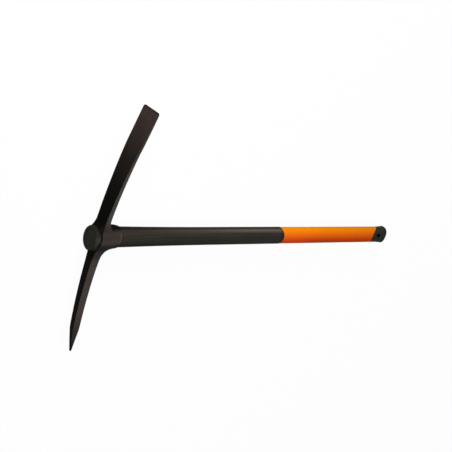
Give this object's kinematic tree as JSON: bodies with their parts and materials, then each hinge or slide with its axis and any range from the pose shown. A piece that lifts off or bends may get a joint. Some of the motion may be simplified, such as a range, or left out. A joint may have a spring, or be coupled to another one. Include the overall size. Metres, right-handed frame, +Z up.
{
  "type": "pickaxe",
  "caption": "Pickaxe lying on its side: forged black head with a broad chisel arm and a pointed pick arm, moulded black shaft, orange grip and flared butt cap.",
  "frame": {"origin": "where the handle's axis meets the flat top of the eye cap", "axes": "+X along the handle from the head to the butt, +Y towards the chisel edge, +Z up from the side that the tool lies on"},
  "size_m": [0.9025, 0.58, 0.0536],
  "materials": {
    "forged_steel": "satin black coating on forged steel, worn at the edges",
    "cap_plastic": "matte black moulded plastic",
    "amber_resin": "cast epoxy, hidden inside the eye",
    "fibreglass": "pultruded fibreglass bar, hidden inside the jacket",
    "jacket_plastic": "satin black moulded plastic",
    "grip_rubber": "soft orange overmould with a fine grain",
    "butt_plastic": "matte black moulded plastic"
  },
  "bodies": {
    "root": {"pick_head": "forged_steel", "eye_cap": "cap_plastic", "eye_resin": "amber_resin", "handle_core": "fibreglass", "shaft_jacket": "jacket_plastic", "grip_sleeve": "grip_rubber", "butt_cap": "butt_plastic"}
  },
  "joints": []
}
